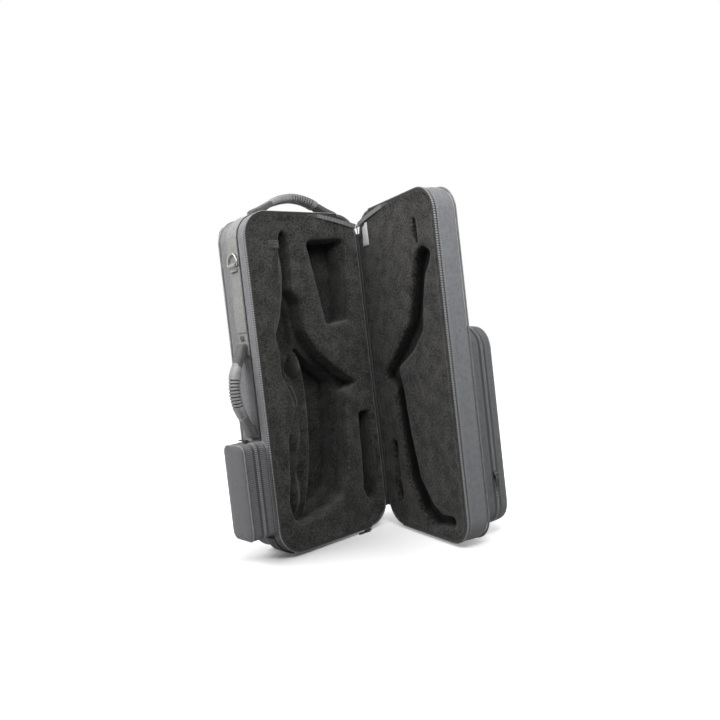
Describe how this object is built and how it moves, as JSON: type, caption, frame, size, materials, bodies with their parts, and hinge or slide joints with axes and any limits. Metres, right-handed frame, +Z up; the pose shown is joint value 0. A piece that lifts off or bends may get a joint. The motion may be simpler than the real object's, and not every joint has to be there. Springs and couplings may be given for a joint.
{
  "type": "alto saxophone case",
  "caption": "Upright soft-sided instrument case with a zipped lid open on its hinge, recesses in a plush lining, carrying handles and outer pockets.",
  "frame": {"origin": "on the floor, under the middle of the whole part's box, with the lid open as at rest", "axes": "+Z up, +X from the base half's free side wall towards its hinge side, +Y towards the base half's back"},
  "size_m": [0.443, 0.4084, 0.7169],
  "materials": {
    "nylon": "matte",
    "plush": "matte",
    "webbing": "matte",
    "piping": "satin",
    "tape": "matte",
    "coil": "satin",
    "slider_metal": "satin",
    "pull_tab": "satin",
    "steel": "satin",
    "grip": "satin",
    "rubber": "matte",
    "label": "matte"
  },
  "bodies": {
    "base": {"base_shell": "nylon", "base_lining": "plush", "base_zip_tape": "tape", "base_zip_coil": "coil", "base_zip_end": "tape", "base_hinge_tape": "tape", "hinge_cord": "piping", "base_piping": "piping", "upper_webbing": "webbing", "lower_webbing": "webbing", "corner_skid": "rubber", "webbing_stud": "steel", "d_ring_loop": "webbing", "plush_tab": "plush", "top_handle_anchors": "webbing", "side_handle_anchors": "webbing", "base_feet": "rubber", "back_roll": "nylon", "back_pocket": "nylon", "back_pocket_zip": "tape", "top_handle_ends": "webbing", "side_handle_ends": "webbing", "side_pocket_tray": "nylon", "side_pocket_hinge_tape": "tape", "side_pocket_tray_tape": "tape", "side_pocket_coil": "coil"},
    "lid": {"lid_shell": "nylon", "lid_lining": "plush", "lid_zip_tape": "tape", "lid_zip_coil": "coil", "lid_zip_end": "tape", "lid_hinge_tape": "tape", "lid_piping": "piping", "label": "label", "lid_feet": "rubber", "lid_pocket_tray": "nylon", "lid_pocket_hinge_tape": "tape", "lid_pocket_tray_tape": "tape", "lid_pocket_coil": "coil"},
    "top_handle": {"top_handle_strap": "webbing", "top_handle_grip": "grip"},
    "side_handle": {"side_handle_strap": "webbing", "side_handle_grip": "grip"},
    "d_ring": {"d_ring": "steel"},
    "main_zip_slider": {"main_zip_slider": "slider_metal"},
    "main_zip_pull": {"main_zip_pull": "pull_tab"},
    "side_pocket_cover": {"side_pocket_cover": "nylon", "side_pocket_cover_tape": "tape"},
    "side_pocket_slider": {"side_pocket_slider": "slider_metal"},
    "side_pocket_pull": {"side_pocket_pull": "pull_tab"},
    "upper_back_slider": {"upper_back_slider": "slider_metal"},
    "upper_back_pull": {"upper_back_pull": "pull_tab"},
    "lower_back_slider": {"lower_back_slider": "slider_metal"},
    "lower_back_pull": {"lower_back_pull": "pull_tab"},
    "lid_pocket_cover": {"lid_pocket_cover": "nylon", "lid_pocket_cover_tape": "tape"},
    "lid_pocket_slider": {"lid_pocket_slider": "slider_metal"},
    "lid_pocket_pull": {"lid_pocket_pull": "pull_tab"}
  },
  "joints": [
    {"name": "lid_hinge", "type": "hinge", "parent": "base", "child": "lid", "pos_m": [0.10848, 0.08049, 0.008], "axis": [0, 0, 1], "range_deg": [-78, 102]},
    {"name": "top_handle_swing", "type": "hinge", "parent": "base", "child": "top_handle", "pos_m": [-0.01855, 0.13049, 0.6851], "axis": [1, 0, 0], "range_deg": [-40, 40]},
    {"name": "side_handle_swing", "type": "hinge", "parent": "base", "child": "side_handle", "pos_m": [-0.18487, 0.13049, 0.33008], "axis": [0, 0, 1], "range_deg": [-40, 40]},
    {"name": "d_ring_swing", "type": "hinge", "parent": "base", "child": "d_ring", "pos_m": [-0.17512, 0.13049, 0.571], "axis": [0, -1, 0], "range_deg": [0, 150]},
    {"name": "main_zip_slide", "type": "slide", "parent": "base", "child": "main_zip_slider", "axis": [1, 0, 0], "range_m": [-0.15, 0]},
    {"name": "main_zip_pull_swing", "type": "hinge", "parent": "main_zip_slider", "child": "main_zip_pull", "pos_m": [0.04448, 0.08049, 0.0019], "axis": [0, -1, 0], "range_deg": [0, 90]},
    {"name": "side_pocket_flap", "type": "hinge", "parent": "base", "child": "side_pocket_cover", "pos_m": [-0.19482, 0.16649, 0.05], "axis": [0, 0, -1], "range_deg": [0, 100]},
    {"name": "side_pocket_slide", "type": "slide", "parent": "base", "child": "side_pocket_slider", "axis": [0, 1, 0], "range_m": [-0.008, 0.02]},
    {"name": "side_pocket_pull_swing", "type": "hinge", "parent": "side_pocket_slider", "child": "side_pocket_pull", "pos_m": [-0.19482, 0.12449, 0.23607], "axis": [1, 0, 0], "range_deg": [0, 150]},
    {"name": "upper_back_slide", "type": "slide", "parent": "base", "child": "upper_back_slider", "axis": [0, 0, 1], "range_m": [-0.012, 0.001]},
    {"name": "upper_back_pull_swing", "type": "hinge", "parent": "upper_back_slider", "child": "upper_back_pull", "pos_m": [-0.15902, 0.19559, 0.562], "axis": [1, 0, 0], "range_deg": [0, 150]},
    {"name": "lower_back_slide", "type": "slide", "parent": "base", "child": "lower_back_slider", "axis": [0, 0, 1], "range_m": [-0.43, 0.008]},
    {"name": "lower_back_pull_swing", "type": "hinge", "parent": "lower_back_slider", "child": "lower_back_pull", "pos_m": [-0.15902, 0.19559, 0.513], "axis": [1, 0, 0], "range_deg": [0, 150]},
    {"name": "lid_pocket_flap", "type": "hinge", "parent": "lid", "child": "lid_pocket_cover", "pos_m": [0.19712, 0.03916, 0.023], "axis": [0, 0, 1], "range_deg": [0, 70]},
    {"name": "lid_pocket_slide", "type": "slide", "parent": "lid", "child": "lid_pocket_slider", "axis": [0, 0, 1], "range_m": [-0.045, 0.23]},
    {"name": "lid_pocket_pull_swing", "type": "hinge", "parent": "lid_pocket_slider", "child": "lid_pocket_pull", "pos_m": [0.14803, -0.19178, 0.12], "axis": [-0.9781, 0.2079, 0], "range_deg": [0, 150]}
  ]
}
